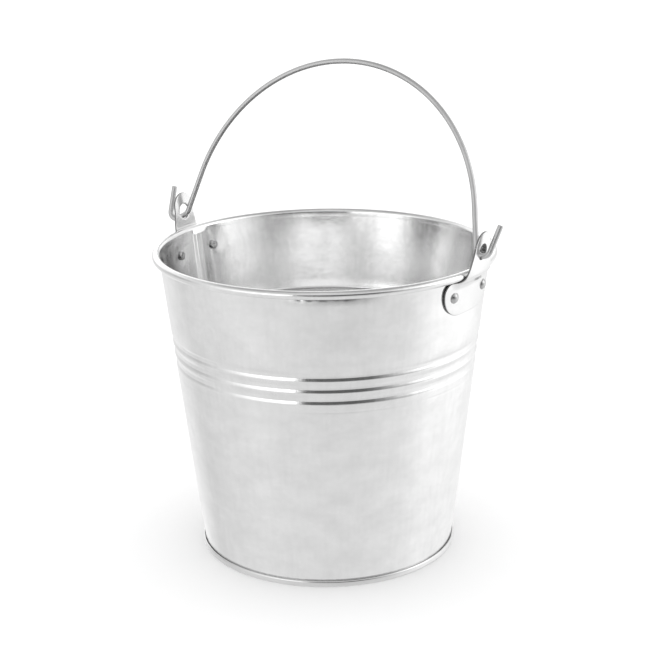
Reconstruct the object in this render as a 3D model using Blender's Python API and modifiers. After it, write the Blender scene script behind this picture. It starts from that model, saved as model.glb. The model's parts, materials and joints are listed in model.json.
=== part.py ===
"""Florist bucket: tapered sheet steel pail with a curled rim, two riveted ears and a wire bail.

Metres, +Z up. The origin is the centre of the foot ring on the surface the bucket stands on.
The two ears lie on +X and -X, and the bail swings about the X axis.
"""
import math

import bmesh
import bpy
from mathutils import Matrix, Vector

MM = 0.001

# Body
SEGMENTS = 48                    # facets round every turned piece, so that gaps stay even
SHEET = 0.5 * MM                 # thickness of the body's sheet
WALL_TAPER = math.radians(6.75)  # lean of the wall from vertical
FOOT_WALL_R = 71.5 * MM          # outer radius of the wall where it leaves the foot ring
FOOT_TOP_Z = 3.6 * MM
RIM_R = 95.0 * MM                # outer radius of the curled rim
CURL_R = 2.26 * MM               # outer radius of the curl's own round section
BODY_H = 172.0 * MM              # top of the rim
CURL_START = math.radians(175)   # where the wall runs into the curl
CURL_END = math.radians(-105)    # where the curled edge of the sheet stops
WALL_END_DROP = 1.6 * MM         # the straight wall ends this far below the curl's centre
GAP = 0.3 * MM                   # clearance that touching pieces keep

# Three fine grooves, pressed into the wall, with a crest below each
GROOVE_START_Z = 127.2 * MM      # where the wall starts to lean into the first groove
GROOVE_Z = 124.4 * MM            # deepest line of the first groove
GROOVE_PITCH = 6.55 * MM
GROOVE_COUNT = 3
GROOVE_DEPTH = 0.8 * MM
CREST_DROP = 2.8 * MM            # from a groove's deepest line down to the crest below it
CREST_ROUND = 0.5 * MM           # half height of the rounded crest and groove

# Lock seam of the wall, inside, beside the ear on -X
SEAM_W = 10.8 * MM
SEAM_RISE = 1.0 * MM
SEAM_SUNK = 0.4 * MM             # from the wall's outside in to the strip's hidden face
SEAM_BOTTOM_Z = 7.0 * MM
SEAM_TOP_Z = 169.4 * MM

# Bottom panel with the foot ring folded over the wall's lower edge
PAN_SHEET = 0.6 * MM
FOOT_OUT_R = 72.55 * MM
FOOT_IN_R = 70.2 * MM
PANEL_TOP_Z = 5.0 * MM
PAN_BEND = 0.6 * MM              # slope where the ring turns into the panel

RIM_WIRE_R = 1.4 * MM
RIM_WIRE_SIDES = 8

# Ears
EAR_SHEET = 1.0 * MM
EAR_HALF_W = 23.5 * MM
EAR_BOTTOM_Z = 148.0 * MM
EAR_SHOULDER_Z = 167.0 * MM
EAR_BOTTOM_CORNER = 13.0 * MM
EAR_SHOULDER_CORNER = 5.5 * MM
HEAD_HALF_W = 8.0 * MM
NECK_FOOT_HALF_W = {1: 14.0 * MM, -1: 10.5 * MM}                 # necks on +X and -X, at their feet
NECK_TOP_Z = 182.5 * MM
NECK_FILLET = 3.0 * MM
NECK_BLEND = 20.0 * MM
EAR_TOP_Z = 191.5 * MM
JOGGLE = math.radians(45)        # slope of the neck as it passes out under the curl
JOGGLE_LIFT_START = 12.0 * MM    # the neck keeps its full lift out to here
JOGGLE_LIFT_W = 8.0 * MM         # distance over which the lift fades out beside the neck
EAR_HOLE_R = 4.25 * MM
EAR_HOLE_Z = 180.75 * MM
EAR_PLATE_ROWS = (152.0 * MM, 158.0 * MM)                        # rows of the plate's surface
EAR_BEND_ROWS = (-0.6 * MM, 0.4 * MM, 1.8 * MM)                  # rows about the joggle's start
EAR_SPARE = 3.0 * MM             # surface beyond the outline, cut away again
EAR_SPAN = math.radians(22.5)    # half angle of the surface the outline is cut from
OUTLINE_X = 92.0 * MM            # middle of the solid that cuts the outline
OUTLINE_HALF_DEPTH = 9.0 * MM

# Rivets
RIVET_S = 15.6 * MM              # distance of a rivet from its ear's centre line
RIVET_Z = 158.6 * MM
SHANK_R = 1.5 * MM
HEAD_R = 2.9 * MM
HEAD_H = 1.5 * MM
TAIL_R = 2.6 * MM
TAIL_H = 1.1 * MM
TAIL_CHAMFER = 0.5 * MM
TAIL_SHOULDER = 0.7              # share of the tail's height below its chamfer
DRILL_DEPTH = 12.0 * MM

# Bail
WIRE_R = 1.5 * MM
HINGE_Z = EAR_HOLE_Z - EAR_HOLE_R + GAP + WIRE_R
BAIL_LEAN = math.radians(19.1)   # lean from vertical towards +Y as it stands
HOOP_R = 91.0 * MM
HOOP_CENTRE_H = 5.5 * MM         # the hoop's centre, above the hinge axis
HOOP_FIRST = math.radians(84)    # the first arc point beside the apex
LEG_SPLAY = math.radians(13)
LEG_END_X = 93.8 * MM            # where a leg's straight run meets its hook, from the hoop's centre
BAIL_SHIFT = -0.6 * MM           # the bail has slid a little towards -X in its holes
HOOK_R = 4.2 * MM
HOOK_RUN = {1: 0.1 * MM, -1: 4.9 * MM}                           # straight run under each hook
HOOK_FALL = {1: math.radians(2), -1: math.radians(33)}           # slope of that run, downwards
TIP_SPLAY = {1: math.radians(14), -1: math.radians(1)}           # lean of each tip, outwards
TIP_H = {1: 17.0 * MM, -1: 16.0 * MM}

CURL_CENTRE_R = RIM_R - CURL_R
CURL_CENTRE_Z = BODY_H - CURL_R
MERGE = 0.05 * MM                # points of a turned profile closer than this are one
WELD = 0.001 * MM


def wall_radius(z):
    """Outer radius of the plain tapered wall at a height."""
    return FOOT_WALL_R + (z - FOOT_TOP_Z) * math.tan(WALL_TAPER)


def clear_scene():
    for obj in list(bpy.data.objects):
        bpy.data.objects.remove(obj, do_unlink=True)


def new_collection(name):
    collection = bpy.data.collections.new(name)
    bpy.context.scene.collection.children.link(collection)
    return collection


def steel(name, tone, roughness, metallic=1.0):
    """A metal finish: one Principled BSDF."""
    material = bpy.data.materials.new(name)
    material.use_nodes = True
    shader = material.node_tree.nodes["Principled BSDF"]
    shader.inputs["Base Color"].default_value = (tone, tone, tone * 1.01, 1.0)
    shader.inputs["Roughness"].default_value = roughness
    shader.inputs["Metallic"].default_value = metallic
    return material


def add_object(name, data, collection, material=None):
    obj = bpy.data.objects.new(name, data)
    collection.objects.link(obj)
    if material is not None:
        data.materials.append(material)
    return obj


def polyline_mesh(name, points):
    """An open chain of edges in the XZ plane, from (radius, height) pairs."""
    mesh = bpy.data.meshes.new(name)
    vertices = [(r, 0.0, z) for r, z in points]
    edges = [(i, i + 1) for i in range(len(points) - 1)]
    mesh.from_pydata(vertices, edges, [])
    return mesh


def add_screw(obj, steps):
    screw = obj.modifiers.new("turned", "SCREW")
    screw.axis = "Z"
    screw.angle = math.tau
    screw.steps = steps
    screw.render_steps = steps
    screw.use_merge_vertices = True
    screw.merge_threshold = MERGE
    screw.use_normal_calculate = False
    screw.use_smooth_shade = True


def add_solidify(obj, thickness, offset=0.0):
    solidify = obj.modifiers.new("sheet", "SOLIDIFY")
    solidify.thickness = thickness
    solidify.offset = offset
    solidify.use_even_offset = True


def add_boolean(obj, cutter, operation):
    boolean = obj.modifiers.new(operation.lower(), "BOOLEAN")
    boolean.operation = operation
    boolean.solver = "EXACT"
    boolean.object = cutter


def hide_cutter(cutter):
    cutter.hide_render = True
    cutter.display_type = "WIRE"


def turned_sheet(name, profile, thickness, collection, material):
    """A sheet part: a profile line turned round Z and given its thickness."""
    obj = add_object(name, polyline_mesh(name, profile), collection, material)
    add_screw(obj, SEGMENTS)
    add_solidify(obj, thickness)
    return obj


def arc(centre, radius, start, end, count):
    """Points on an arc from one angle to another, both ends included."""
    points = []
    for i in range(count):
        angle = start + (end - start) * i / (count - 1)
        points.append((centre[0] + radius * math.cos(angle), centre[1] + radius * math.sin(angle)))
    return points


def body_profile():
    """Middle line of the wall's sheet, from the rim's curled edge down to the foot."""
    middle = CURL_R - SHEET / 2
    curl = arc((CURL_CENTRE_R, CURL_CENTRE_Z), middle, CURL_END, CURL_START, 12)

    def on_wall(z, depth=0.0):
        return (wall_radius(z) - SHEET / 2 - depth, z)

    points = curl + [on_wall(CURL_CENTRE_Z - WALL_END_DROP), on_wall(GROOVE_START_Z)]
    rounded = 0.9 * GROOVE_DEPTH
    for i in range(GROOVE_COUNT):
        groove = GROOVE_Z - i * GROOVE_PITCH
        crest = groove - CREST_DROP
        points.append(on_wall(groove + CREST_ROUND, rounded))
        points.append(on_wall(groove - CREST_ROUND, rounded))
        points.append(on_wall(crest + CREST_ROUND, GROOVE_DEPTH - rounded))
        points.append(on_wall(crest - CREST_ROUND))
    points.append(on_wall(FOOT_TOP_Z))
    points.append((FOOT_WALL_R - SHEET / 2, PAN_SHEET + GAP))
    return points


def place_on_wall(side, offset, z):
    """Matrix of a point on the wall's outside: Z is the outward normal.

    side is +1 or -1 for the ear on +X or -X, and offset runs round the wall along Y.
    """
    radius = wall_radius(z)
    angle = math.asin(offset / radius)
    turn = Matrix.Rotation(angle if side > 0 else math.pi - angle, 4, "Z")
    tip = Matrix.Rotation(math.radians(90) + WALL_TAPER, 4, "Y")
    return turn @ Matrix.Translation((radius, 0, z)) @ tip


def rivet_spots():
    for side, ear in ((1, "right"), (-1, "left")):
        for end, place in ((-1, "front"), (1, "back")):
            yield f"rivet_{ear}_{place}", place_on_wall(side, end * RIVET_S, RIVET_Z)


def cylinder(name, radius, depth, matrix, collection, vertices=16):
    bpy.ops.mesh.primitive_cylinder_add(vertices=vertices, radius=radius, depth=depth)
    obj = bpy.context.active_object
    obj.name = name
    for other in list(obj.users_collection):
        other.objects.unlink(obj)
    collection.objects.link(obj)
    obj.matrix_world = matrix
    hide_cutter(obj)
    return obj


def build_body(collection, cutters, material):
    body = turned_sheet("body_shell", body_profile(), SHEET, collection, material)
    add_boolean(body, seam_strip(cutters), "UNION")
    for name, matrix in rivet_spots():
        hole = cylinder(f"cut_{name}", SHANK_R + GAP, DRILL_DEPTH, matrix, cutters)
        add_boolean(body, hole, "DIFFERENCE")
    return body


def seam_strip(cutters):
    """The folded lock seam: a raised strip along the inside of the wall, beside -X."""
    half = SEAM_W / 2
    rows = []
    for z in (SEAM_BOTTOM_Z, SEAM_TOP_Z):
        outer = wall_radius(z) - SEAM_SUNK
        inner = wall_radius(z) - SHEET - SEAM_RISE
        turn = Matrix.Rotation(math.pi - half / wall_radius(z), 4, "Z")
        corners = [(outer, -half), (outer, half), (inner, half), (inner, -half)]
        rows.append([turn @ Vector((x, y, z)) for x, y in corners])
    mesh = bpy.data.meshes.new("seam_strip")
    quads = [(i, (i + 1) % 4, 4 + (i + 1) % 4, 4 + i) for i in range(4)]
    mesh.from_pydata(rows[0] + rows[1], [], quads + [(3, 2, 1, 0), (4, 5, 6, 7)])
    strip = add_object("join_seam_strip", mesh, cutters)
    hide_cutter(strip)
    return strip


def build_pan(collection, material):
    """Bottom panel: a channel holds the wall's edge, and the panel sits inside the ring."""
    half = PAN_SHEET / 2
    profile = [
        (FOOT_OUT_R - half, FOOT_TOP_Z),
        (FOOT_OUT_R - half, half),
        (FOOT_IN_R + half, half),
        (FOOT_IN_R + half, PANEL_TOP_Z - half - PAN_BEND),
        (FOOT_IN_R + half - PAN_BEND, PANEL_TOP_Z - half),
        (0.0, PANEL_TOP_Z - half),
    ]
    return turned_sheet("base_pan", profile, PAN_SHEET, collection, material)


def build_rim_wire(collection, material):
    bpy.ops.mesh.primitive_torus_add(
        major_radius=CURL_CENTRE_R, minor_radius=RIM_WIRE_R,
        major_segments=SEGMENTS, minor_segments=RIM_WIRE_SIDES,
        location=(0, 0, CURL_CENTRE_Z))
    wire = bpy.context.active_object
    wire.name = "rim_wire"
    for other in list(wire.users_collection):
        other.objects.unlink(wire)
    collection.objects.link(wire)
    wire.data.materials.append(material)
    wire.data.shade_smooth()
    return wire


def neck_line():
    """Middle line of the ear's neck: up the wall, out under the curl, then up beyond it."""
    lift = GAP + EAR_SHEET / 2
    clear = CURL_R + lift
    wrap = arc((CURL_CENTRE_R, CURL_CENTRE_Z), clear, -JOGGLE, -WALL_TAPER, 5)
    start_r, start_z = wrap[0]
    # Walk back along the joggle's slope to where it meets the line that hugs the wall.
    slope = math.tan(JOGGLE)
    hug_r = wall_radius(start_z) + lift / math.cos(WALL_TAPER)
    drop = (start_r - hug_r) / (slope - math.tan(WALL_TAPER))
    meet_z = start_z - drop
    end_r, end_z = wrap[-1]
    top_z = EAR_TOP_Z + EAR_SPARE
    top_r = end_r + (top_z - end_z) * math.tan(WALL_TAPER)
    return meet_z, wrap + [(top_r, top_z)]


def neck_radius(z, meet_z, line):
    """Radius of the neck's middle line at a height."""
    hug = wall_radius(z) + (GAP + EAR_SHEET / 2) / math.cos(WALL_TAPER)
    if z <= meet_z:
        return hug
    previous = (hug - (z - meet_z) * math.tan(WALL_TAPER), meet_z)
    for r, height in line:
        if z <= height:
            share = (z - previous[1]) / (height - previous[1])
            return previous[0] + (r - previous[0]) * share
        previous = (r, height)
    return previous[0]


def smooth_step(x):
    x = min(max(x, 0.0), 1.0)
    return x * x * (3 - 2 * x)


def ear_surface(columns=16):
    """Middle surface of an ear on +X: hugs the wall, and lifts over the rim at its neck."""
    meet_z, line = neck_line()
    hug_lift = (GAP + EAR_SHEET / 2) / math.cos(WALL_TAPER)
    heights = [EAR_BOTTOM_Z - EAR_SPARE] + list(EAR_PLATE_ROWS)
    heights += [meet_z + step for step in EAR_BEND_ROWS]
    heights += [height for _, height in line]
    mesh = bpy.data.meshes.new("ear_surface")
    vertices = []
    for z in heights:
        for i in range(columns + 1):
            angle = EAR_SPAN * (2 * i / columns - 1)
            hug = wall_radius(min(z, EAR_SHOULDER_Z)) + hug_lift
            across = abs(hug * math.sin(angle))
            lift = 1 - smooth_step((across - JOGGLE_LIFT_START) / JOGGLE_LIFT_W)
            radius = hug + (neck_radius(z, meet_z, line) - hug) * lift
            vertices.append((radius * math.cos(angle), radius * math.sin(angle), z))
    width = columns + 1
    quads = []
    for row in range(len(heights) - 1):
        for i in range(columns):
            corner = row * width + i
            quads.append((corner, corner + 1, corner + width + 1, corner + width))
    mesh.from_pydata(vertices, [], quads)
    return mesh


def fillet(corners, steps=5):
    """Closed outline from (s, z, radius) corners, with each corner rounded."""
    outline = []
    count = len(corners)
    for i in range(count):
        corner = Vector(corners[i][:2])
        before = (Vector(corners[i - 1][:2]) - corner).normalized()
        after = (Vector(corners[(i + 1) % count][:2]) - corner).normalized()
        radius = corners[i][2]
        half = before.angle(after) / 2
        centre = corner + (before + after).normalized() * radius / math.sin(half)
        first = corner + before * radius / math.tan(half) - centre
        last = corner + after * radius / math.tan(half) - centre
        for k in range(steps + 1):
            spoke = first.lerp(last, k / steps).normalized()
            outline.append(centre + spoke * radius)
    return outline


def ear_outline(side):
    """Front outline of the ear on +X or -X: base plate, filleted neck and round head."""
    right = [
        (EAR_HALF_W, EAR_BOTTOM_Z, EAR_BOTTOM_CORNER),
        (EAR_HALF_W, EAR_SHOULDER_Z, EAR_SHOULDER_CORNER),
        (NECK_FOOT_HALF_W[side], EAR_SHOULDER_Z, NECK_FILLET),
        (HEAD_HALF_W, NECK_TOP_Z, NECK_BLEND),
        (HEAD_HALF_W, EAR_TOP_Z, HEAD_HALF_W * 0.999),
    ]
    left = [(-s, z, radius) for s, z, radius in reversed(right)]
    return fillet(right + left)


def prism(name, outlines, half_depth, matrix, collection):
    """A flat outline with holes, extruded both ways along its normal and made a mesh."""
    curve = bpy.data.curves.new(name, "CURVE")
    curve.dimensions = "2D"
    curve.fill_mode = "BOTH"
    curve.extrude = half_depth
    for outline in outlines:
        spline = curve.splines.new("POLY")
        spline.points.add(len(outline) - 1)
        for point, (x, y) in zip(spline.points, outline):
            point.co = (x, y, 0.0, 1.0)
        spline.use_cyclic_u = True
    guide = add_object(f"{name}_guide", curve, collection)
    guide.matrix_world = matrix
    return curve_to_mesh(name, guide, collection)


def curve_to_mesh(name, guide, collection, material=None):
    """Replace a curve object by a welded mesh object in the same place."""
    depsgraph = bpy.context.evaluated_depsgraph_get()
    mesh = bpy.data.meshes.new_from_object(guide.evaluated_get(depsgraph))
    cage = bmesh.new()
    cage.from_mesh(mesh)
    bmesh.ops.remove_doubles(cage, verts=cage.verts, dist=WELD)
    bmesh.ops.recalc_face_normals(cage, faces=cage.faces)
    cage.to_mesh(mesh)
    cage.free()
    solid = add_object(name, mesh, collection)
    mesh.materials.clear()
    if material is not None:
        mesh.materials.append(material)
    solid.matrix_world = guide.matrix_world.copy()
    bpy.data.objects.remove(guide, do_unlink=True)
    return solid


def build_ears(collection, cutters, material):
    surface = ear_surface()
    surface.materials.append(material)
    hole = arc((0.0, EAR_HOLE_Z), EAR_HOLE_R, 0.0, math.tau, 21)[:-1]
    for side, name in ((1, "ear_right"), (-1, "ear_left")):
        ear = add_object(name, surface, collection)
        ear.rotation_euler.z = 0.0 if side > 0 else math.pi
        # The outline stands in the YZ plane: its x runs along Y and its y along Z.
        stand = Matrix(((0, 0, 1, OUTLINE_X), (1, 0, 0, 0), (0, 1, 0, 0), (0, 0, 0, 1)))
        turn = Matrix.Rotation(0.0 if side > 0 else math.pi, 4, "Z")
        loops = [ear_outline(side), hole]
        outline = prism(f"outline_{name}", loops, OUTLINE_HALF_DEPTH, turn @ stand, cutters)
        hide_cutter(outline)
        add_solidify(ear, EAR_SHEET)
        add_boolean(ear, outline, "INTERSECT")
        for rivet, matrix in rivet_spots():
            if rivet.split("_")[1] == name.split("_")[1]:
                drill = cylinder(f"cut_{name}_{rivet}", SHANK_R + GAP, DRILL_DEPTH, matrix, cutters)
                add_boolean(ear, drill, "DIFFERENCE")


def build_rivets(collection, material):
    """Rivets: domed head outside the ear, formed tail inside the wall."""
    seat = GAP + EAR_SHEET + GAP
    under = -SHEET - GAP
    dome_r = (HEAD_R ** 2 + HEAD_H ** 2) / (2 * HEAD_H)
    edge = math.asin(HEAD_R / dome_r)
    profile = []
    for i in range(5):
        angle = edge * i / 4
        profile.append((dome_r * math.sin(angle), seat + HEAD_H - dome_r * (1 - math.cos(angle))))
    profile += [(SHANK_R, seat), (SHANK_R, under), (TAIL_R, under)]
    profile.append((TAIL_R, under - TAIL_SHOULDER * TAIL_H))
    profile.append((TAIL_R - TAIL_CHAMFER, under - TAIL_H))
    profile.append((0.0, under - TAIL_H))
    mesh = polyline_mesh("rivet", profile)
    mesh.materials.append(material)
    for name, matrix in rivet_spots():
        rivet = add_object(name, mesh, collection)
        rivet.matrix_world = matrix
        add_screw(rivet, 14)


def bail_half(side):
    """Middle line of half a bail, from beside the apex to the hook's tip on +X or -X."""
    splay, fall = TIP_SPLAY[side], HOOK_FALL[side]
    half = arc((0.0, HOOP_CENTRE_H), HOOP_R, HOOP_FIRST, LEG_SPLAY, 13)
    turn = math.radians(270) - fall
    centre_x = LEG_END_X + HOOK_R * math.cos(LEG_SPLAY)
    half += arc((centre_x, HOOK_R), HOOK_R, math.pi + LEG_SPLAY, turn, 5)
    centre = (centre_x + HOOK_RUN[side] * math.cos(fall), HOOK_R - HOOK_RUN[side] * math.sin(fall))
    half += arc(centre, HOOK_R, turn, math.tau - splay, 7)
    foot_x, foot_h = half[-1]
    half.append((foot_x + (TIP_H[side] - foot_h) * math.tan(splay), TIP_H[side]))
    return [(side * x + BAIL_SHIFT, h) for x, h in half]


def bail_path():
    """Middle line of the bail's wire in its own plane, from one hook's tip to the other."""
    apex = (BAIL_SHIFT, HOOP_CENTRE_H + HOOP_R)
    return bail_half(-1)[::-1] + [apex] + bail_half(1)


def build_bail(collection, material):
    curve = bpy.data.curves.new("bail_path", "CURVE")
    curve.dimensions = "3D"
    curve.bevel_depth = WIRE_R
    curve.bevel_resolution = 2
    curve.use_fill_caps = True
    path = bail_path()
    spline = curve.splines.new("POLY")
    spline.points.add(len(path) - 1)
    for point, (x, h) in zip(spline.points, path):
        point.co = (x, 0.0, h, 1.0)
    guide = add_object("bail_guide", curve, collection)
    guide.location = (0, 0, HINGE_Z)
    guide.rotation_euler = (-BAIL_LEAN, 0, 0)
    bpy.context.view_layer.update()
    bail = curve_to_mesh("bail_handle", guide, collection, material)
    bail.data.shade_smooth()
    return bail


def main():
    clear_scene()
    parts = new_collection("florist_bucket")
    cutters = new_collection("cutters")
    tinned = steel("tinned_sheet", 0.72, 0.24)
    ear_finish = steel("ear_sheet", 0.76, 0.18)
    rivet_finish = steel("rivet_steel", 0.45, 0.32)
    wire_finish = steel("bail_wire", 0.55, 0.28)
    build_body(parts, cutters, tinned)
    build_pan(parts, steel("base_sheet", 0.66, 0.28))
    build_rim_wire(parts, steel("rim_wire_steel", 0.5, 0.35))
    build_ears(parts, cutters, ear_finish)
    build_rivets(parts, rivet_finish)
    build_bail(parts, wire_finish)


main()
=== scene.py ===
"""Looks of the florist bucket: bright plated sheet steel, riveted ears and a wire bail.

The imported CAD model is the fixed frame. Every visible piece is rebuilt here at a finer
resolution in the same place, and gets a procedural metal finish.
"""
import json
import math

import bmesh
import bpy
from mathutils import Matrix, Vector, noise
from mathutils.geometry import delaunay_2d_cdt


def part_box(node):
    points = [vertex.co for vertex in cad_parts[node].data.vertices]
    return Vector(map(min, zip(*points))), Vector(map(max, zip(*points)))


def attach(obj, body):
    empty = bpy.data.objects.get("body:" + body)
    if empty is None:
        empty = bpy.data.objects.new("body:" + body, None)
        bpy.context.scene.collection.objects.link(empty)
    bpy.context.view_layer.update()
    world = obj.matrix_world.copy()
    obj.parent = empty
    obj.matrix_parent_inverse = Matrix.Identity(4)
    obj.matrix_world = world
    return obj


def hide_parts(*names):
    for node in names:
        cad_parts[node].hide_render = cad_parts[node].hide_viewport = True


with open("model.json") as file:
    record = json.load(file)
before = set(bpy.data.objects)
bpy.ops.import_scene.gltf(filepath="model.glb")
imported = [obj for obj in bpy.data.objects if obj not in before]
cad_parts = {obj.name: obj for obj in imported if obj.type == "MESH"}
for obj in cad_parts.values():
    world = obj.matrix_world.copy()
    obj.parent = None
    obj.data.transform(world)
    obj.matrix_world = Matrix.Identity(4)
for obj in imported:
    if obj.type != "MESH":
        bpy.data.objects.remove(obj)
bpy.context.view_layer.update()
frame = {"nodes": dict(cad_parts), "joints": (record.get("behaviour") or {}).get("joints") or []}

MM = 0.001

# ---- Sizes read from the frame --------------------------------------------------------
body_low, body_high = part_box("body_shell")
pan_low, pan_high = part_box("base_pan")
wire_low, wire_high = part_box("rim_wire")
ear_low, ear_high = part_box("ear_right")
hinge = frame["joints"][0]

RIM_R = body_high.x
BODY_H = body_high.z
CURL_CENTRE_Z = (wire_low.z + wire_high.z) / 2
CURL_R = BODY_H - CURL_CENTRE_Z
CURL_CENTRE_R = RIM_R - CURL_R
FOOT_OUT_R = pan_high.x
PANEL_TOP_Z = pan_high.z
EAR_HALF_W = ear_high.y
EAR_BOTTOM_Z = ear_low.z
EAR_TOP_Z = ear_high.z
HINGE_Z = hinge["pos_m"][2]

# ---- Details of the sheet metal -------------------------------------------------------
NECK_IN_LOW_Z = 162.8 * MM       # a dented stretch just under the rim's front
NECK_IN_Z = 167.2 * MM           # its deepest line
NECK_IN_DEPTH = 0.62 * MM
NECK_IN_ANGLE = math.radians(-57)
NECK_IN_SPREAD = math.radians(22)
SHEET = 0.5 * MM
WALL_TAPER = math.radians(6.75)
FOOT_WALL_R = 71.5 * MM
FOOT_TOP_Z = 3.6 * MM
CURL_END = math.radians(-105)
GAP = 0.3 * MM

GROOVE_START_Z = 127.2 * MM      # where the wall starts to lean into the first groove
GROOVE_Z = 124.4 * MM            # deepest line of the first groove
GROOVE_PITCH = 6.55 * MM
GROOVE_COUNT = 3
GROOVE_DEPTH = 0.95 * MM
GROOVE_INSIDE = 0.2              # share of the grooves' depth that shows inside
CREST_DROP = 2.8 * MM            # from a groove's deepest line down to the crest below it
SCORE_Z = 104.3 * MM             # a faint score line below the grooves
SCORE_DEPTH = 0.05 * MM
SCORE_HALF_W = 0.45 * MM
SCORE_BAND = 2 * MM              # half height of the finely meshed band at the score line

SEAM_W = 10.8 * MM
SEAM_RISE = 1.0 * MM
SEAM_EDGE = 1.0 * MM             # width of the seam's folded edge
SEAM_STEP = 6.4 * MM             # the fold's own edge, from the seam's front edge
SEAM_STEP_DROP = 0.25            # share of the height lost at that edge
SEAM_SLOPE = 8.0 * MM            # width of the seam's soft far edge
SEAM_TOP_Z = 169.4 * MM

PAN_SHEET = 0.6 * MM
FOOT_IN_R = 70.2 * MM

EAR_SHEET = 1.0 * MM
EAR_EDGE_R = 0.3 * MM            # rounding of the pressed sheet's edges
EAR_SHOULDER_Z = 167.0 * MM
EAR_BOTTOM_CORNER = 13.0 * MM
EAR_SHOULDER_CORNER = 5.5 * MM
HEAD_HALF_W = 8.0 * MM
NECK_FOOT_HALF_W = {1: 14.0 * MM, -1: 10.5 * MM}                 # necks on +X and -X, at their feet
JOGGLE_LIFT_START = 12.0 * MM    # the neck keeps its full lift out to here
JOGGLE_LIFT_W = 8.0 * MM         # distance over which that lift fades out beside the neck
NECK_TOP_Z = 182.5 * MM
NECK_FILLET = 3.0 * MM
NECK_BLEND = 20.0 * MM
JOGGLE = math.radians(45)
EAR_HOLE_R = 4.25 * MM

RIVET_S = 15.6 * MM
RIVET_Z = 158.6 * MM
RIVET_DRAW = 0.28 * MM           # how far a rivet pulls the sheet out, and how far round it
RIVET_DRAW_R = 9 * MM
SHANK_R = 1.5 * MM
HEAD_R = 2.9 * MM
HEAD_H = 1.5 * MM
TAIL_R = 2.6 * MM
TAIL_H = 1.1 * MM

WIRE_R = 1.5 * MM
BAIL_LEAN = math.radians(19.1)
HOOP_R = 91.0 * MM
HOOP_CENTRE_H = 5.5 * MM
LEG_SPLAY = math.radians(13)
LEG_END_X = 93.8 * MM
BAIL_SHIFT = -0.6 * MM           # the bail has slid a little towards -X in its holes
HOOK_R = 4.2 * MM
HOOK_RUN = {1: 0.1 * MM, -1: 4.9 * MM}
HOOK_FALL = {1: math.radians(2), -1: math.radians(33)}
TIP_SPLAY = {1: math.radians(14), -1: math.radians(1)}
TIP_H = {1: 17.0 * MM, -1: 16.0 * MM}
EAR_HOLE_Z = HINGE_Z + EAR_HOLE_R - GAP - WIRE_R

TURNS = 256                      # facets round the finest turned pieces


# ---- Small helpers --------------------------------------------------------------------
def wall_radius(z):
    """Outer radius of the plain tapered wall at a height."""
    return FOOT_WALL_R + (z - FOOT_TOP_Z) * math.tan(WALL_TAPER)


def smooth_step(x):
    x = min(max(x, 0.0), 1.0)
    return x * x * (3 - 2 * x)


def spread(start, end, count):
    """Evenly spaced values, both ends included."""
    return [start + (end - start) * i / (count - 1) for i in range(count)]


def arc(centre, radius, start, end, count):
    return [(centre[0] + radius * math.cos(a), centre[1] + radius * math.sin(a))
            for a in spread(start, end, count)]


def new_piece(name, mesh, material, body, slot, *nodes):
    """A shown piece: its finish, its shading, the body it rides on and the nodes it stands for."""
    piece = bpy.data.objects.new(name, mesh)
    bpy.context.scene.collection.objects.link(piece)
    mesh.materials.append(material)
    mesh.shade_smooth()
    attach(piece, body)
    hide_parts(*nodes)
    return piece


def mesh_from(name, vertices, faces, edge_shade=None):
    """A mesh with its faces made to point outwards. The optional edge mask, 0 to 1, marks the sheet's
    edges, which the finish makes rougher and darkens with painted shade.
    """
    mesh = bpy.data.meshes.new(name)
    mesh.from_pydata([tuple(v) for v in vertices], [], faces)
    if edge_shade:
        mesh.attributes.new("edge_shade", "FLOAT", "POINT").data.foreach_set("value", edge_shade)
    cage = bmesh.new()
    cage.from_mesh(mesh)
    bmesh.ops.remove_doubles(cage, verts=cage.verts, dist=0.000002)
    bmesh.ops.recalc_face_normals(cage, faces=cage.faces)
    cage.to_mesh(mesh)
    cage.free()
    return mesh


def thicken(line, thickness):
    """Closed outline of a sheet from its middle line: one side out, the other side back."""
    side_a, side_b = [], []
    last = len(line) - 1
    for i, (r, z) in enumerate(line):
        before = line[max(i - 1, 0)]
        after = line[min(i + 1, last)]
        along = Vector((after[0] - before[0], after[1] - before[1])).normalized()
        normal = Vector((along.y, -along.x)) * thickness / 2
        side_a.append((r + normal.x, z + normal.y))
        side_b.append((r - normal.x, z - normal.y))
    return side_a, side_b


def turned(name, outline, turns, shape=None):
    """A closed (radius, height) outline turned round Z. shape(angle, r, z, i) may move a point."""
    vertices = []
    count = len(outline)
    for k in range(turns):
        angle = math.tau * k / turns
        cosine, sine = math.cos(angle), math.sin(angle)
        for i, (r, z) in enumerate(outline):
            if shape:
                r, z = shape(angle, r, z, i)
            vertices.append((r * cosine, r * sine, z))
    faces = []
    for k in range(turns):
        here, there = k * count, (k + 1) % turns * count
        for i in range(count):
            j = (i + 1) % count
            faces.append((here + i, there + i, there + j, here + j))
    return mesh_from(name, vertices, faces)


# ---- Body -----------------------------------------------------------------------------
def ease(x):
    """From 0 to 1: straight in the middle, rounded at both ends."""
    x = min(max(x, 0.0), 1.0)
    return 0.5 * x + 0.5 * smooth_step(x)


def groove_depth(z):
    """How far the wall lies inside its plain taper in the grooved band."""
    down = GROOVE_Z - z
    if abs(z - SCORE_Z) < SCORE_BAND:
        return SCORE_DEPTH * math.exp(-((z - SCORE_Z) / SCORE_HALF_W) ** 2)
    if down < 0:
        return GROOVE_DEPTH * ease((GROOVE_START_Z - z) / (GROOVE_START_Z - GROOVE_Z))
    i = int(down / GROOVE_PITCH)
    step = down - i * GROOVE_PITCH
    if i >= GROOVE_COUNT:
        return 0.0
    if step < CREST_DROP:
        return GROOVE_DEPTH * (1 - ease(step / CREST_DROP))
    if i == GROOVE_COUNT - 1:
        return 0.0
    return GROOVE_DEPTH * ease((step - CREST_DROP) / (GROOVE_PITCH - CREST_DROP))


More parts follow.
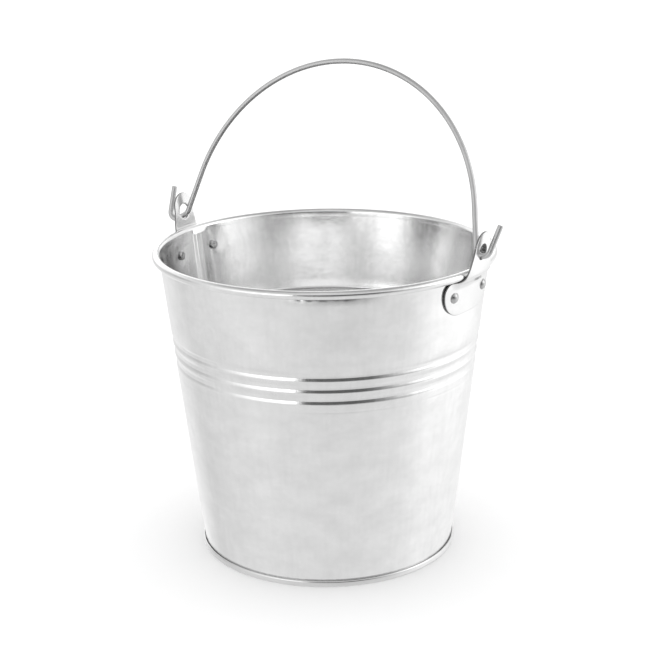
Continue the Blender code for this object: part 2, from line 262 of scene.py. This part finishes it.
def body_line():
    """Middle line of the wall's sheet, from its lower edge up to the end of the curl."""
    band_low = SCORE_Z - SCORE_BAND
    band_high = GROOVE_START_Z
    heights = spread(PAN_SHEET + GAP, FOOT_TOP_Z, 4)
    heights += spread(FOOT_TOP_Z, band_low, 30)[1:]
    heights += spread(band_low, band_high, 100)[1:]
    heights += spread(band_high, NECK_IN_LOW_Z, 12)[1:]
    heights += spread(NECK_IN_LOW_Z, CURL_CENTRE_Z - 1.9 * MM, 14)[1:]
    line = [(max(wall_radius(z), FOOT_WALL_R) - SHEET / 2 - groove_depth(z), z) for z in heights]
    curl = arc((CURL_CENTRE_R, CURL_CENTRE_Z), CURL_R - SHEET / 2, math.radians(172), CURL_END, 30)
    return line + curl


def seam_lift(angle, z):
    """Height of the lock seam above the inner wall: a strip from -X towards +Y."""
    radius = wall_radius(z)
    across = (math.pi - angle) * radius
    rise = smooth_step((across + SEAM_EDGE / 2) / SEAM_EDGE)
    fall = smooth_step((SEAM_W + SEAM_SLOPE * 0.5 - across) / SEAM_SLOPE)
    step = 1 - SEAM_STEP_DROP * smooth_step((across - SEAM_STEP) / (0.5 * MM))
    ends = smooth_step((z - 5.5 * MM) / (2 * MM)) * smooth_step((SEAM_TOP_Z - z) / (1.2 * MM))
    return SEAM_RISE * min(rise, fall) * step * ends


def rivet_spots():
    """(name, matrix): Z of the matrix is the wall's outward normal at the rivet."""
    for side, ear in ((1, "right"), (-1, "left")):
        for end, place in ((-1, "front"), (1, "back")):
            radius = wall_radius(RIVET_Z)
            angle = math.asin(end * RIVET_S / radius)
            turn = Matrix.Rotation(angle if side > 0 else math.pi - angle, 4, "Z")
            tip = Matrix.Rotation(math.radians(90) + WALL_TAPER, 4, "Y")
            yield f"rivet_{ear}_{place}", turn @ Matrix.Translation((radius, 0, RIVET_Z)) @ tip


def build_body(material):
    line = body_line()
    outer, inner = thicken(line, SHEET)
    outline = outer + inner[::-1]
    outer_count = len(outer)
    spots = [matrix.translation for _, matrix in rivet_spots()]
    band_low = GROOVE_Z - GROOVE_COUNT * GROOVE_PITCH

    def shape(angle, r, z, i):
        point = Vector((r * math.cos(angle), r * math.sin(angle), z))
        # Slow hand-made waviness of the rolled sheet, the same on both sides.
        wave = noise.noise(Vector((math.cos(angle) * 2.1, math.sin(angle) * 2.1, z * 9.0)))
        fade = smooth_step((z - 8 * MM) / (20 * MM)) * smooth_step((BODY_H - 6 * MM - z) / (20 * MM))
        r += wave * 0.16 * MM * fade
        away = (math.remainder(angle - NECK_IN_ANGLE, math.tau)) / NECK_IN_SPREAD
        if abs(away) < 1 and r < CURL_CENTRE_R - 0.6 * MM:
            up = min(max((z - NECK_IN_LOW_Z) / (NECK_IN_Z - NECK_IN_LOW_Z), 0.0), 1.0) ** 2
            over = smooth_step((CURL_CENTRE_Z - z) / (CURL_CENTRE_Z - NECK_IN_Z))
            streaky = 1 + 0.35 * noise.noise(Vector((angle * 60, 0.0, 2.5)))
            r -= NECK_IN_DEPTH * streaky * smooth_step(1.4 - 1.4 * abs(away)) * min(up, over)
        # The sheet is drawn out a little, towards the ear, round each rivet.
        for spot in spots:
            near = (point - spot).length
            if near < RIVET_DRAW_R:
                r += RIVET_DRAW * smooth_step(1 - near / RIVET_DRAW_R)
        if i >= outer_count and band_low < z < GROOVE_START_Z:
            r += (1 - GROOVE_INSIDE) * groove_depth(z)
        if i >= outer_count and z < CURL_CENTRE_Z and r < CURL_CENTRE_R - CURL_R + 0.7 * MM:
            r -= seam_lift(angle, z)
        return r, z

    mesh = turned("bucket_wall", outline, TURNS * 2, shape)
    return new_piece("bucket_wall", mesh, material, "bucket", "tinned_sheet", "body_shell")


def build_pan(material):
    """Bottom panel and the folded foot ring."""
    half = PAN_SHEET / 2
    bend = 0.55 * MM
    outside, inside = FOOT_OUT_R - half, FOOT_IN_R + half
    line = [(outside, FOOT_TOP_Z - 0.1 * MM), (outside, 2.4 * MM), (outside, half + bend + 0.2 * MM)]
    line += arc((outside - bend, half + bend), bend, 0.0, -math.pi / 2, 6)
    line += arc((inside + bend, half + bend), bend, -math.pi / 2, -math.pi, 6)
    line += [(inside, 2.2 * MM), (inside, PANEL_TOP_Z - half - bend)]
    line += arc((inside - bend, PANEL_TOP_Z - half - bend), bend, 0.0, math.pi / 2, 6)
    for r in (66, 64, 63, 62, 61, 60, 58, 50, 40, 30, 20, 10, 4, 1):
        step = 0.6 * MM * smooth_step((63.5 - r) / 3.5)
        line.append((r * MM, PANEL_TOP_Z - half - step))
    outer, inner = thicken(line, PAN_SHEET)
    mesh = turned("foot_and_bottom", outer + inner[::-1], TURNS)
    return new_piece("foot_and_bottom", mesh, material, "bucket", "base_sheet", "base_pan")


# ---- Ears -----------------------------------------------------------------------------
def neck_line():
    """Middle line of an ear's neck: up the wall, out under the curl, then up beyond it."""
    lift = GAP + EAR_SHEET / 2
    wrap = arc((CURL_CENTRE_R, CURL_CENTRE_Z), CURL_R + lift, -JOGGLE, -WALL_TAPER, 14)
    start_r, start_z = wrap[0]
    hug_r = wall_radius(start_z) + lift / math.cos(WALL_TAPER)
    drop = (start_r - hug_r) / (math.tan(JOGGLE) - math.tan(WALL_TAPER))
    meet_z = start_z - drop
    end_r, end_z = wrap[-1]
    top_z = EAR_TOP_Z + 3 * MM
    return meet_z, wrap + [(end_r + (top_z - end_z) * math.tan(WALL_TAPER), top_z)]


MEET_Z, NECK = neck_line()
HUG_LIFT = (GAP + EAR_SHEET / 2) / math.cos(WALL_TAPER)
BEND = 1.3 * MM                  # half length of the soft bend where the joggle starts


def neck_radius(z):
    hug = wall_radius(z) + HUG_LIFT
    previous = (wall_radius(MEET_Z) + HUG_LIFT, MEET_Z)
    if z <= MEET_Z - BEND:
        return hug
    if z <= MEET_Z + BEND:
        # A parabola that leaves the wall's line and joins the joggle's slope.
        grow = math.tan(JOGGLE) - math.tan(WALL_TAPER)
        return hug + grow * (z - MEET_Z + BEND) ** 2 / (4 * BEND)
    for r, height in NECK:
        if z <= height:
            share = (z - previous[1]) / (height - previous[1])
            return previous[0] + (r - previous[0]) * share
        previous = (r, height)
    return previous[0]


def ear_point(s, z):
    """A point of an ear's middle surface on +X, from its front outline's coordinates."""
    hug = wall_radius(min(z, EAR_SHOULDER_Z)) + HUG_LIFT
    lift = 1 - smooth_step((abs(s) - JOGGLE_LIFT_START) / JOGGLE_LIFT_W)
    radius = hug + (neck_radius(z) - hug) * lift
    # The plate is curved with the wall below and nearly flat at its head.
    flat = smooth_step((z - EAR_SHOULDER_Z) / (8 * MM))
    x = math.sqrt(radius ** 2 - s ** 2 * (1 - 0.85 * flat))
    return Vector((x, s, z))


def ear_normal(s, z):
    step = 0.05 * MM
    across = ear_point(s + step, z) - ear_point(s - step, z)
    up = ear_point(s, z + step) - ear_point(s, z - step)
    return across.cross(up).normalized()


def fillet(corners, steps):
    """Closed outline from (s, z, radius) corners, with each corner rounded."""
    outline = []
    count = len(corners)
    for i in range(count):
        corner = Vector(corners[i][:2])
        before = Vector(corners[i - 1][:2]) - corner
        after = Vector(corners[(i + 1) % count][:2]) - corner
        before.normalize()
        after.normalize()
        radius = corners[i][2]
        half = before.angle(after) / 2
        centre = corner + (before + after).normalized() * radius / math.sin(half)
        first = corner + before * radius / math.tan(half) - centre
        last = corner + after * radius / math.tan(half) - centre
        for k in range(steps + 1):
            outline.append(centre + first.lerp(last, k / steps).normalized() * radius)
    return outline


def even_loop(loop, count):
    """The same closed loop with evenly spaced points."""
    lengths = [0.0]
    for i in range(len(loop)):
        lengths.append(lengths[-1] + (loop[(i + 1) % len(loop)] - loop[i]).length)
    points = []
    k = 0
    for i in range(count):
        want = lengths[-1] * i / count
        while lengths[k + 1] < want:
            k += 1
        share = (want - lengths[k]) / max(lengths[k + 1] - lengths[k], 1e-12)
        points.append(loop[k].lerp(loop[(k + 1) % len(loop)], share))
    return points


def ear_loop(inset, side):
    """The ear's counter-clockwise outline moved inwards by inset."""
    right = [
        (EAR_HALF_W, EAR_BOTTOM_Z, EAR_BOTTOM_CORNER),
        (EAR_HALF_W, EAR_SHOULDER_Z, EAR_SHOULDER_CORNER),
        (NECK_FOOT_HALF_W[side], EAR_SHOULDER_Z, NECK_FILLET),
        (HEAD_HALF_W, NECK_TOP_Z, NECK_BLEND),
        (HEAD_HALF_W, EAR_TOP_Z, HEAD_HALF_W * 0.999),
    ]
    left = [(-s, z, radius) for s, z, radius in reversed(right)]
    loop = even_loop(fillet(right + left, 24), 240)
    moved = []
    for i, point in enumerate(loop):
        along = (loop[(i + 1) % len(loop)] - loop[i - 1]).normalized()
        moved.append(point + Vector((-along.y, along.x)) * inset)
    return moved


def hole_loop(inset):
    radius = EAR_HOLE_R + inset
    return [Vector((radius * math.cos(a), EAR_HOLE_Z + radius * math.sin(a)))
            for a in spread(0.0, math.tau, 65)[:-1]]


def inside(point, loop):
    hit = False
    for i in range(len(loop)):
        a, b = loop[i - 1], loop[i]
        if (a.y > point.y) != (b.y > point.y):
            if point.x < (b.x - a.x) * (point.y - a.y) / (b.y - a.y) + a.x:
                hit = not hit
    return hit


def ear_plan(side):
    """Flat triangulation of an ear: points, faces, and each point's distance from the edge."""
    insets = [EAR_EDGE_R * (1 - math.cos(a)) for a in spread(0.0, math.pi / 2, 5)]
    loops = [ear_loop(d, side) for d in insets] + [hole_loop(d) for d in insets]
    depth_of = insets + insets
    points, edges, depths = [], [], []
    for loop, depth in zip(loops, depth_of):
        start = len(points)
        count = len(loop)
        points += loop
        depths += [depth] * count
        edges += [(start + i, start + (i + 1) % count) for i in range(count)]
    border, hole = ear_loop(EAR_EDGE_R + 0.5 * MM, side), hole_loop(EAR_EDGE_R + 0.4 * MM)
    pitch = 0.9 * MM
    rows = int((EAR_TOP_Z - EAR_BOTTOM_Z) / pitch)
    columns = int(2 * EAR_HALF_W / pitch)
    for row in range(rows + 1):
        for column in range(columns + 1):
            point = Vector((-EAR_HALF_W + (column + 0.5 * (row % 2)) * pitch, EAR_BOTTOM_Z + row * pitch))
            if inside(point, border) and not inside(point, hole):
                points.append(point)
                depths.append(EAR_EDGE_R)
    found = delaunay_2d_cdt(points, edges, [], 0, 1e-7)
    flat, _, faces, sources = found[:4]
    rim, opening = ear_loop(0.0, side), hole_loop(0.0)
    kept = []
    for face in faces:
        centre = sum((flat[i] for i in face), Vector((0.0, 0.0))) / len(face)
        if inside(centre, rim) and not inside(centre, opening):
            kept.append(face)
    return flat, kept, [depths[source[0]] if source else EAR_EDGE_R for source in sources]


def ear_mesh(side):
    """An ear's two faces, with rounded edges that meet half way through the sheet."""
    flat, faces, depths = ear_plan(side)
    half = EAR_SHEET / 2
    front, back = [], []
    for point, depth in zip(flat, depths):
        middle, normal = ear_point(point.x, point.y), ear_normal(point.x, point.y)
        rise = half - EAR_EDGE_R + math.sqrt(max(EAR_EDGE_R ** 2 - (EAR_EDGE_R - depth) ** 2, 0.0))
        front.append(middle + normal * rise)
        back.append(middle - normal * rise)
    # Painted shade: this mask darkens the ear's outer edges and the hole's edge, standing in for the
    # shade in the gap against the wall.
    edge_shade = [smooth_step(1 - depth / (1.2 * EAR_EDGE_R)) for depth in depths]
    count = len(flat)
    pairs = {(face[i], face[(i + 1) % 3]) for face in faces for i in range(3)}
    solid = [tuple(face) for face in faces] + [tuple(i + count for i in reversed(face)) for face in faces]
    solid += [(b, a, a + count, b + count) for a, b in pairs if (b, a) not in pairs]
    return mesh_from("ear", front + back, solid, edge_shade + edge_shade)


def build_ears(material):
    for side, name in ((1, "right"), (-1, "left")):
        mesh = ear_mesh(side)
        mesh.transform(Matrix.Rotation(0.0 if side > 0 else math.pi, 4, "Z"))
        new_piece(f"ear_plate_{name}", mesh, material, "bucket", "ear_sheet", f"ear_{name}")


# ---- Rivets ---------------------------------------------------------------------------
def build_rivets(material):
    seat = GAP + EAR_SHEET + 0.02 * MM
    under = -SHEET - 0.02 * MM
    dome_r = (HEAD_R ** 2 + HEAD_H ** 2) / (2 * HEAD_H)
    edge = math.asin(HEAD_R / dome_r)
    head = [(dome_r * math.sin(a), seat + 0.25 * MM + HEAD_H - dome_r * (1 - math.cos(a)))
            for a in spread(edge * 0.02, edge, 18)]
    head += [(HEAD_R + 0.06 * MM, seat + 0.14 * MM), (HEAD_R + 0.03 * MM, seat + 0.04 * MM)]
    head += [(HEAD_R - 0.1 * MM, seat), (SHANK_R, seat)]
    tail = [(SHANK_R, under), (TAIL_R - 0.1 * MM, under), (TAIL_R, under - 0.12 * MM)]
    tail += arc((TAIL_R - 0.5 * MM, under - TAIL_H + 0.5 * MM), 0.5 * MM, 0.0, -math.pi / 2, 8)
    tail += [(r * MM, under - TAIL_H + 0.1 * MM * (1 - r / 1.4)) for r in (1.4, 1.0, 0.6, 0.05)]
    outline = head + tail
    for index, (name, matrix) in enumerate(rivet_spots()):

        def shape(angle, r, z, i, index=index):
            # Formed tails are struck a little unevenly.
            if z < under - 0.1 * MM:
                wobble = noise.noise(Vector((math.cos(angle) * 1.3, math.sin(angle) * 1.3, index * 3.7)))
                r *= 1 + 0.07 * wobble
            return r, z

        mesh = turned(name, outline, 48, shape)
        mesh.transform(matrix)
        new_piece(f"{name}_formed", mesh, material, "bucket", "rivet_steel", name)


# ---- Bail -----------------------------------------------------------------------------
def bail_half(side):
    """Middle line of half a bail, from beside the apex to the hook's tip on +X or -X."""
    splay, fall = TIP_SPLAY[side], HOOK_FALL[side]
    half = arc((0.0, HOOP_CENTRE_H), HOOP_R, math.pi / 2, LEG_SPLAY, 90)[1:]
    turn = 1.5 * math.pi - fall
    centre_x = LEG_END_X + HOOK_R * math.cos(LEG_SPLAY)
    hook = arc((centre_x, HOOK_R), HOOK_R, math.pi + LEG_SPLAY, turn, 14)
    centre = (centre_x + HOOK_RUN[side] * math.cos(fall), HOOK_R - HOOK_RUN[side] * math.sin(fall))
    hook += arc(centre, HOOK_R, turn, math.tau - splay, 18)
    start, end = half[-1], hook[0]
    half += [(start[0] + (end[0] - start[0]) * t, start[1] + (end[1] - start[1]) * t)
             for t in spread(0.0, 1.0, 14)[1:-1]]
    half += hook
    foot_x, foot_h = half[-1]
    half += [(foot_x + (h - foot_h) * math.tan(splay), h) for h in spread(foot_h, TIP_H[side], 8)[1:]]
    return [Vector((side * x + BAIL_SHIFT, 0.0, h)) for x, h in half]


def build_bail(material):
    apex = Vector((BAIL_SHIFT, 0.0, HOOP_CENTRE_H + HOOP_R))
    path = bail_half(-1)[::-1] + [apex] + bail_half(1)
    sides = 28
    nip = 0.25 * MM              # the cut ends are slightly rounded over
    rings = []
    last = len(path) - 1
    for i, point in enumerate(path):
        along = (path[min(i + 1, last)] - path[max(i - 1, 0)]).normalized()
        rings.append((point, along, WIRE_R))
    first_point, first_along, _ = rings[0]
    last_point, last_along, _ = rings[-1]
    rings[0] = (first_point + first_along * nip, first_along, WIRE_R)
    rings[-1] = (last_point - last_along * nip, last_along, WIRE_R)
    for share, inset in ((0.7, 0.08), (1.0, 0.3)):
        back = nip * (1 - share)
        radius = WIRE_R - inset * nip * 3
        rings.insert(0, (first_point + first_along * back, first_along, radius))
        rings.append((last_point - last_along * back, last_along, radius))
    vertices, faces = [], []
    across = Vector((0.0, 1.0, 0.0))
    for point, along, radius in rings:
        up = along.cross(across)
        for k in range(sides):
            angle = math.tau * k / sides
            vertices.append(point + (across * math.cos(angle) + up * math.sin(angle)) * radius)
    for i in range(len(rings) - 1):
        for k in range(sides):
            n = (k + 1) % sides
            faces.append((i * sides + k, i * sides + n, (i + 1) * sides + n, (i + 1) * sides + k))
    faces.append(tuple(range(sides - 1, -1, -1)))
    faces.append(tuple(range(len(vertices) - sides, len(vertices))))
    mesh = mesh_from("bail_wire", vertices, faces)
    place = Matrix.Translation((0, 0, HINGE_Z)) @ Matrix.Rotation(-BAIL_LEAN, 4, "X")
    mesh.transform(place)
    return new_piece("bail_wire", mesh, material, "bail", "bail_wire", "bail_handle")


# ---- Metal finishes -------------------------------------------------------------------
def plated_steel(name, tone, roughness, streak=0.03, cloud=0.05, wave=0.0, stretch=(1, 1, 0.04)):
    """Bright plated steel: clouds and drawn streaks in tone and gloss, fine grain, soft waves, and
    painted shade on masked edges.
    """
    material = bpy.data.materials.new(name)
    material.use_nodes = True
    nodes, links = material.node_tree.nodes, material.node_tree.links
    shader = nodes["Principled BSDF"]
    shader.inputs["Metallic"].default_value = 1.0
    place = nodes.new("ShaderNodeTexCoord")

    def noise_at(scale, detail, stretch_by=(1, 1, 1)):
        mapping = nodes.new("ShaderNodeMapping")
        mapping.inputs["Scale"].default_value = stretch_by
        links.new(place.outputs["Object"], mapping.inputs["Vector"])
        texture = nodes.new("ShaderNodeTexNoise")
        texture.inputs["Scale"].default_value = scale
        texture.inputs["Detail"].default_value = detail
        texture.inputs["Roughness"].default_value = 0.55
        links.new(mapping.outputs["Vector"], texture.inputs["Vector"])
        return texture.outputs["Fac"]

    def fit(value, low, high):
        ranged = nodes.new("ShaderNodeMapRange")
        ranged.inputs["From Min"].default_value = 0.3
        ranged.inputs["From Max"].default_value = 0.7
        ranged.inputs["To Min"].default_value = low
        ranged.inputs["To Max"].default_value = high
        links.new(value, ranged.inputs["Value"])
        return ranged.outputs["Result"]

    def maths(operation, first, second):
        node = nodes.new("ShaderNodeMath")
        node.operation = operation
        for socket, value in zip(node.inputs, (first, second)):
            if isinstance(value, float):
                socket.default_value = value
            else:
                links.new(value, socket)
        return node.outputs[0]

    streaks = noise_at(420.0, 3.0, stretch)
    clouds = noise_at(62.0, 4.0, (1, 1, 1.7))
    mottle = noise_at(260.0, 3.0)
    fine = noise_at(1500.0, 2.0)

    shade = maths("MULTIPLY", fit(streaks, 1.0 - streak, 1.0), fit(clouds, 1.0 - cloud, 1.0))
    shade = maths("MULTIPLY", shade, fit(mottle, tone * 0.965, tone))
    # Painted shade: where the edge mask is set, the colour is darkened to stand in for the shadowed gap
    # along the ear's edges. The same mask also raises the roughness.
    edge_shade = nodes.new("ShaderNodeAttribute")
    edge_shade.attribute_name = "edge_shade"
    edge_shade_amount = maths("MULTIPLY", edge_shade.outputs["Fac"], 0.6)
    shade = maths("MULTIPLY", shade, maths("SUBTRACT", 1.0, edge_shade_amount))
    grey = nodes.new("ShaderNodeCombineColor")
    for channel in ("Red", "Green", "Blue"):
        links.new(shade, grey.inputs[channel])
    links.new(grey.outputs["Color"], shader.inputs["Base Color"])

    gloss = maths("ADD", fit(clouds, roughness * 1.12, roughness * 0.92), fit(streaks, -0.015, 0.02))
    gloss = maths("ADD", gloss, fit(mottle, -0.02, 0.02))
    links.new(maths("ADD", gloss, edge_shade_amount), shader.inputs["Roughness"])

    def bumped(height, distance, strength, under=None):
        bump = nodes.new("ShaderNodeBump")
        bump.inputs["Strength"].default_value = strength
        bump.inputs["Distance"].default_value = distance
        links.new(height, bump.inputs["Height"])
        if under:
            links.new(under, bump.inputs["Normal"])
        return bump.outputs["Normal"]

    normal = None
    if wave:
        normal = bumped(noise_at(34.0, 1.5, (1, 1, 0.45)), wave, 1.0)
        normal = bumped(mottle, wave * 0.12, 1.0, normal)
    grain = maths("ADD", streaks, fit(fine, 0.0, 0.3))
    links.new(bumped(grain, 0.00006, 0.06, normal), shader.inputs["Normal"])
    return material


# ---- Stage, light and camera ----------------------------------------------------------
CAMERA_AZIMUTH = math.radians(32.7)
CAMERA_PLACE = (0.45407, -0.70728, 0.38386)
CAMERA_YAW = 0.002               # small turns of the camera from facing the bucket's axis, in radians
CAMERA_PITCH = -0.296
CAMERA_ROLL = -0.015
CAMERA_LENS = 87.46
WORLD_STRENGTH = 1.4
FLOOR_TONE = 0.86
FLOOR_R = 14.0
SHELL_R = 3.0


def studio_place(azimuth_deg, distance, height):
    """A point at an azimuth counted from the camera's, positive to the picture's right."""
    angle = CAMERA_AZIMUTH + math.radians(azimuth_deg)
    return Vector((math.sin(angle) * distance, -math.cos(angle) * distance, height))


# Brightness of the studio round the bucket, one row of values for each elevation in degrees.
# The first value lies in the camera's direction, and the others follow to the picture's right.
# The rows below the horizon stand for the pale floor. The rows from 3 degrees up started as a
# scratch program's fit to the photo's tones, and were then rounded and changed by hand.
STUDIO = (
    (-60, (0.80, 0.80, 0.85, 0.90, 0.85, 0.80)),
    (-30, (0.82, 0.82, 0.90, 1.06, 1.00, 0.98, 1.10, 1.00, 0.75, 0.81, 0.88, 0.84)),
    (-12, (0.55, 0.55, 0.75, 1.40, 1.40, 1.00, 0.90, 0.90, 0.80, 0.85, 0.90, 0.80)),
    (3, (0.40, 0.40, 0.40, 0.40, 0.50, 0.80, 1.10, 1.20, 1.15, 0.95, 0.80, 0.80,
         0.80, 0.80, 0.80, 0.75, 0.65, 0.60, 0.70, 0.85, 1.10, 1.30, 1.40, 1.40)),
    (15, (0.40, 0.40, 0.40, 0.50, 1.10, 2.25, 2.30, 1.25, 0.85, 0.80, 1.05, 1.75,
          1.70, 1.65, 1.85, 1.15, 0.62, 0.42, 0.78, 1.00, 1.35, 1.70, 1.90, 2.00)),
    (32, (0.70, 0.75, 1.20, 1.80, 1.20, 1.05, 1.00, 1.15, 1.00, 0.85, 0.95, 0.80)),
    (60, (0.80, 0.45, 0.40, 0.50, 0.40, 0.55)),
)
DARK_LEFT = -21.5                # the dark panel behind the camera: its sharp left edge,
DARK_RIGHT = 52                  # the end of its soft right edge,
DARK_TOP = 30                    # and its upper edge, in degrees
DARK_GLOW = 0.12


def studio_row(values, azimuth_deg):
    """A value of one row, with the values blended into each other round the circle."""
    place = azimuth_deg % 360 / 360 * len(values)
    first = int(place) % len(values)
    share = place - int(place)
    return values[first] * (1 - share) + values[(first + 1) % len(values)] * share


def studio_glow(azimuth_deg, elevation_deg, rows):
    """Brightness of the studio in one direction."""
    low = rows[0]
    for high in rows[1:]:
        if elevation_deg < high[0]:
            share = min(max((elevation_deg - low[0]) / (high[0] - low[0]), 0.0), 1.0)
            return (studio_row(low[1], azimuth_deg) * (1 - share)
                    + studio_row(high[1], azimuth_deg) * share)
        low = high
    return studio_row(low[1], azimuth_deg)


def dark_panel(azimuth_deg, elevation_deg):
    """How much of the studio's light the dark panel hides in one direction, 0 to 1."""
    azimuth = math.remainder(azimuth_deg, 360)
    across = smooth_step((azimuth - DARK_LEFT) / 3) * smooth_step((DARK_RIGHT - azimuth) / 24)
    return across * smooth_step((elevation_deg + 5) / 4) * smooth_step((DARK_TOP - elevation_deg) / 6)


def add_floor():
    """The pale floor that shows in the picture. The metal mirrors the studio shell instead."""
    bpy.ops.mesh.primitive_circle_add(vertices=96, radius=FLOOR_R, fill_type="NGON")
    floor = bpy.context.active_object
    floor.name = "studio_floor"
    floor.visible_glossy = False
    material = bpy.data.materials.new("studio_white")
    material.use_nodes = True
    shader = material.node_tree.nodes["Principled BSDF"]
    shader.inputs["Base Color"].default_value = (FLOOR_TONE, FLOOR_TONE, FLOOR_TONE, 1.0)
    shader.inputs["Roughness"].default_value = 0.9
    shader.inputs["Specular IOR Level"].default_value = 0.0
    floor.data.materials.append(material)


def add_studio_shell():
    """The studio as the metal mirrors it: soft panels all round, lit or dark."""
    columns = 360
    elevations = [-89, -75] + list(range(-60, -9, 5)) + list(range(-8, 36, 2))
    elevations += list(range(38, 89, 5)) + [90]
    vertices, glow = [], []
    for elevation in elevations:
        for k in range(columns):
            azimuth = 360 * k / columns
            ring = math.cos(math.radians(elevation)) * SHELL_R
            height = math.sin(math.radians(elevation)) * SHELL_R
            vertices.append(studio_place(azimuth, ring, height))
            dark = dark_panel(azimuth, elevation)
            glow.append(studio_glow(azimuth, elevation, STUDIO) * (1 - dark) + DARK_GLOW * dark)
    faces = []
    for row in range(len(elevations) - 1):
        for k in range(columns):
            n = (k + 1) % columns
            low, high = row * columns, (row + 1) * columns
            faces.append((low + k, low + n, high + n, high + k))
    mesh = bpy.data.meshes.new("studio_shell")
    mesh.from_pydata(vertices, [], faces)
    mesh.attributes.new("glow", "FLOAT", "POINT").data.foreach_set("value", glow)
    material = bpy.data.materials.new("studio_panels")
    material.use_nodes = True
    nodes, links = material.node_tree.nodes, material.node_tree.links
    nodes.clear()
    attribute = nodes.new("ShaderNodeAttribute")
    attribute.attribute_name = "glow"
    emission = nodes.new("ShaderNodeEmission")
    output = nodes.new("ShaderNodeOutputMaterial")
    links.new(attribute.outputs["Fac"], emission.inputs["Strength"])
    links.new(emission.outputs["Emission"], output.inputs["Surface"])
    mesh.materials.append(material)
    shell = bpy.data.objects.new("studio_shell", mesh)
    bpy.context.scene.collection.objects.link(shell)
    shell.visible_camera = False
    shell.visible_diffuse = False
    shell.visible_shadow = False


def add_world():
    world = bpy.data.worlds.new("studio")
    bpy.context.scene.world = world
    world.use_nodes = True
    background = world.node_tree.nodes["Background"]
    background.inputs["Color"].default_value = (1, 1, 1, 1)
    background.inputs["Strength"].default_value = WORLD_STRENGTH


def add_camera():
    data = bpy.data.cameras.new("camera")
    data.sensor_width = 36.0
    data.lens = CAMERA_LENS
    data.clip_start = 0.01
    data.clip_end = 50.0
    camera = bpy.data.objects.new("camera", data)
    bpy.context.scene.collection.objects.link(camera)
    yaw = Matrix.Rotation(CAMERA_AZIMUTH + CAMERA_YAW, 4, "Z")
    pitch = Matrix.Rotation(math.radians(90) + CAMERA_PITCH, 4, "X")
    roll = Matrix.Rotation(CAMERA_ROLL, 4, "Z")
    camera.matrix_world = Matrix.Translation(CAMERA_PLACE) @ yaw @ pitch @ roll
    bpy.context.scene.camera = camera


def main():
    add_camera()
    sheet = plated_steel("tinned_sheet_finish", 0.92, 0.17, streak=0.04, cloud=0.085, wave=0.0004)
    build_body(sheet)
    build_pan(plated_steel("base_sheet_finish", 0.8, 0.2))
    build_ears(plated_steel("ear_sheet_finish", 0.9, 0.15, wave=0.0001, stretch=(1, 1, 0.1)))
    build_rivets(plated_steel("rivet_finish", 0.56, 0.22, stretch=(1, 1, 1)))
    build_bail(plated_steel("bail_wire_finish", 0.66, 0.42, stretch=(0.1, 1, 1)))
    hidden_wire = plated_steel("rim_wire_finish", 0.5, 0.35)
    frame["nodes"]["rim_wire"].data.materials.clear()
    frame["nodes"]["rim_wire"].data.materials.append(hidden_wire)
    add_floor()
    add_studio_shell()
    add_world()
    bpy.context.scene.view_settings.view_transform = "Standard"


main()
